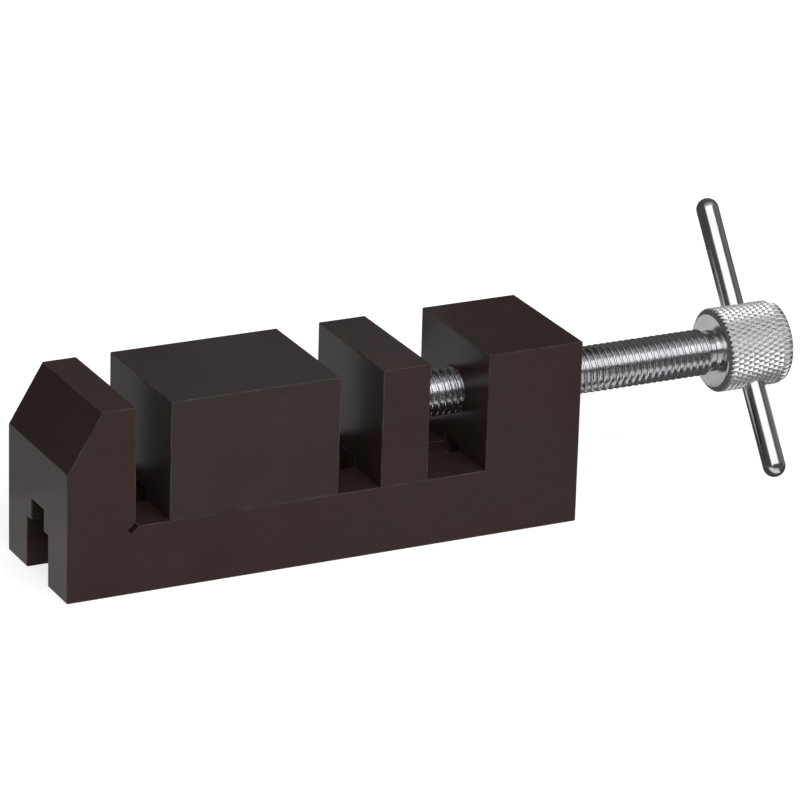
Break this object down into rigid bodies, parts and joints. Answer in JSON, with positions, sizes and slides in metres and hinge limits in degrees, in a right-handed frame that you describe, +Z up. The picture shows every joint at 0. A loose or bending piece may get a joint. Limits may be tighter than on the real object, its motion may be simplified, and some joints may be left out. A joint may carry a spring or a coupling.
{
  "type": "toolmaker vise",
  "caption": "Small toolmaker vise: black steel frame with a fixed jaw, a sliding jaw block and a moving jaw driven by a bright screw spindle with knurled head and tommy bar.",
  "frame": {"origin": "on the base plane, at the middle of the frame's length and width, at the mouth of the guide channel", "axes": "+X along the vise towards the spindle head, +Y across it towards the back, +Z up"},
  "size_m": [0.1703, 0.0383, 0.0547],
  "materials": {
    "black_oxide": "black oxide, semi-gloss",
    "block_black": "black oxide, ground, semi-gloss",
    "bright_plate": "bright plated",
    "knurled_plate": "bright plated, knurled",
    "polished_bar": "polished",
    "bare_steel": "machined, lightly oiled"
  },
  "bodies": {
    "base": {"vise_body": "black_oxide"},
    "block": {"jaw_block": "block_black", "block_gib": "bare_steel", "block_gib_screws": "bare_steel"},
    "jaw": {"moving_jaw": "black_oxide", "jaw_gib": "black_oxide", "jaw_gib_screw": "bare_steel", "jaw_retaining_pin": "bare_steel"},
    "screw": {"spindle": "bright_plate", "knurled_head": "knurled_plate"},
    "bar": {"tommy_bar": "polished_bar"}
  },
  "joints": [
    {"name": "block_slide", "type": "slide", "parent": "base", "child": "block", "axis": [1, 0, 0], "range_m": [-0.0074, 0]},
    {"name": "jaw_slide", "type": "slide", "parent": "base", "child": "jaw", "axis": [1, 0, 0], "range_m": [-0.00955, 0.0133]},
    {"name": "screw_turn", "type": "hinge", "parent": "jaw", "child": "screw", "pos_m": [0.06, 0, 0.0271], "axis": [1, 0, 0], "range_deg": [-2295, 3195]},
    {"name": "bar_slide", "type": "slide", "parent": "screw", "child": "bar", "axis": [0, 0.5793, 0.8151], "range_m": [-0.024, 0.02]}
  ],
  "couplings": [
    {"joint": "screw_turn", "follows": "jaw_slide", "rad_per_m": 4188.8}
  ]
}
